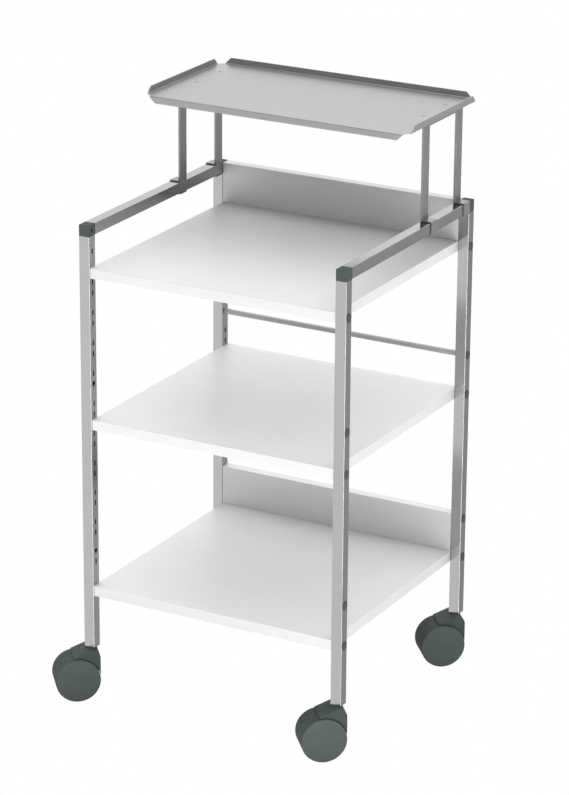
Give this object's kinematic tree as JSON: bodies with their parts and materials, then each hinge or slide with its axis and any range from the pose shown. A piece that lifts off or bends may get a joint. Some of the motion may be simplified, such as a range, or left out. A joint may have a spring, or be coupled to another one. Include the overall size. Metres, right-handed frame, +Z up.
{
  "type": "equipment trolley",
  "caption": "Open equipment trolley: square-tube frame on swivel castors, board shelves with low back upstands, and a folded sheet tray on a bridge that slides on the side rails.",
  "frame": {"origin": "centre of the four posts on the floor", "axes": "+X to the right for someone who faces the open front, +Y to the back, +Z up"},
  "size_m": [0.5867, 0.5457, 1.06],
  "materials": {
    "chrome_tube": "bright chrome plate",
    "bright_steel": "bright zinc",
    "bridge_steel": "bright chrome plate",
    "tray_paint": "satin silver-grey powder coat",
    "white_board": "white melamine face and edge on chipboard",
    "grey_plastic": "slate grey moulded plastic",
    "wheel_plastic": "slate grey moulded plastic",
    "dark_plastic": "black moulded plastic"
  },
  "bodies": {
    "frame": {"post_front_left": "chrome_tube", "connector_front_left": "grey_plastic", "castor_socket_front_left": "dark_plastic", "post_front_right": "chrome_tube", "connector_front_right": "grey_plastic", "castor_socket_front_right": "dark_plastic", "post_rear_left": "chrome_tube", "connector_rear_left": "grey_plastic", "castor_socket_rear_left": "dark_plastic", "post_rear_right": "chrome_tube", "connector_rear_right": "grey_plastic", "castor_socket_rear_right": "dark_plastic", "rail_left": "chrome_tube", "rail_right": "chrome_tube", "shelf_top": "white_board", "shelf_bolts_top": "dark_plastic", "shelf_middle": "white_board", "shelf_bolts_middle": "dark_plastic", "shelf_bottom": "white_board", "shelf_bolts_bottom": "dark_plastic", "upstand_top": "white_board", "upstand_bottom": "white_board", "upstand_dowels": "bright_steel", "upstand_bolts": "dark_plastic", "rear_crossbar": "chrome_tube", "crossbar_bolts": "dark_plastic", "blanking_plugs": "dark_plastic"},
    "castor_front_left": {"castor_hood_front_left": "grey_plastic", "castor_stem_front_left": "bright_steel", "castor_axle_front_left": "bright_steel"},
    "wheel_front_left_a": {"castor_wheel_front_left_a": "wheel_plastic"},
    "wheel_front_left_b": {"castor_wheel_front_left_b": "wheel_plastic"},
    "castor_front_right": {"castor_hood_front_right": "grey_plastic", "castor_stem_front_right": "bright_steel", "castor_axle_front_right": "bright_steel"},
    "wheel_front_right_a": {"castor_wheel_front_right_a": "wheel_plastic"},
    "wheel_front_right_b": {"castor_wheel_front_right_b": "wheel_plastic"},
    "castor_rear_left": {"castor_hood_rear_left": "grey_plastic", "castor_stem_rear_left": "bright_steel", "castor_axle_rear_left": "bright_steel"},
    "wheel_rear_left_a": {"castor_wheel_rear_left_a": "wheel_plastic"},
    "wheel_rear_left_b": {"castor_wheel_rear_left_b": "wheel_plastic"},
    "castor_rear_right": {"castor_hood_rear_right": "grey_plastic", "castor_stem_rear_right": "bright_steel", "castor_axle_rear_right": "bright_steel"},
    "wheel_rear_right_a": {"castor_wheel_rear_right_a": "wheel_plastic"},
    "wheel_rear_right_b": {"castor_wheel_rear_right_b": "wheel_plastic"},
    "tray_bridge": {"tray_plate": "tray_paint", "tray_screws": "bright_steel", "bridge_bracket_left": "bridge_steel", "rail_clip_front_left": "bridge_steel", "rail_clip_rear_left": "bridge_steel", "bridge_bracket_right": "bridge_steel", "rail_clip_front_right": "bridge_steel", "rail_clip_rear_right": "bridge_steel"}
  },
  "joints": [
    {"name": "castor_swivel_front_left", "type": "hinge", "parent": "frame", "child": "castor_front_left", "pos_m": [-0.246, -0.227, 0.095], "axis": [0, 0, 1], "continuous": true},
    {"name": "wheel_spin_front_left_a", "type": "hinge", "parent": "castor_front_left", "child": "wheel_front_left_a", "pos_m": [-0.26821, -0.24564, 0.04], "axis": [0.6428, -0.766, 0], "continuous": true},
    {"name": "wheel_spin_front_left_b", "type": "hinge", "parent": "castor_front_left", "child": "wheel_front_left_b", "pos_m": [-0.26821, -0.24564, 0.04], "axis": [0.6428, -0.766, 0], "continuous": true},
    {"name": "castor_swivel_front_right", "type": "hinge", "parent": "frame", "child": "castor_front_right", "pos_m": [0.246, -0.227, 0.095], "axis": [0, 0, 1], "continuous": true},
    {"name": "wheel_spin_front_right_a", "type": "hinge", "parent": "castor_front_right", "child": "wheel_front_right_a", "pos_m": [0.22379, -0.24564, 0.04], "axis": [0.6428, -0.766, 0], "continuous": true},
    {"name": "wheel_spin_front_right_b", "type": "hinge", "parent": "castor_front_right", "child": "wheel_front_right_b", "pos_m": [0.22379, -0.24564, 0.04], "axis": [0.6428, -0.766, 0], "continuous": true},
    {"name": "castor_swivel_rear_left", "type": "hinge", "parent": "frame", "child": "castor_rear_left", "pos_m": [-0.246, 0.227, 0.095], "axis": [0, 0, 1], "continuous": true},
    {"name": "wheel_spin_rear_left_a", "type": "hinge", "parent": "castor_rear_left", "child": "wheel_rear_left_a", "pos_m": [-0.26821, 0.20836, 0.04], "axis": [0.6428, -0.766, 0], "continuous": true},
    {"name": "wheel_spin_rear_left_b", "type": "hinge", "parent": "castor_rear_left", "child": "wheel_rear_left_b", "pos_m": [-0.26821, 0.20836, 0.04], "axis": [0.6428, -0.766, 0], "continuous": true},
    {"name": "castor_swivel_rear_right", "type": "hinge", "parent": "frame", "child": "castor_rear_right", "pos_m": [0.246, 0.227, 0.095], "axis": [0, 0, 1], "continuous": true},
    {"name": "wheel_spin_rear_right_a", "type": "hinge", "parent": "castor_rear_right", "child": "wheel_rear_right_a", "pos_m": [0.22379, 0.20836, 0.04], "axis": [0.6428, -0.766, 0], "continuous": true},
    {"name": "wheel_spin_rear_right_b", "type": "hinge", "parent": "castor_rear_right", "child": "wheel_rear_right_b", "pos_m": [0.22379, 0.20836, 0.04], "axis": [0.6428, -0.766, 0], "continuous": true},
    {"name": "tray_slide", "type": "slide", "parent": "frame", "child": "tray_bridge", "axis": [0, -1, 0], "range_m": [0, 0.283]}
  ]
}
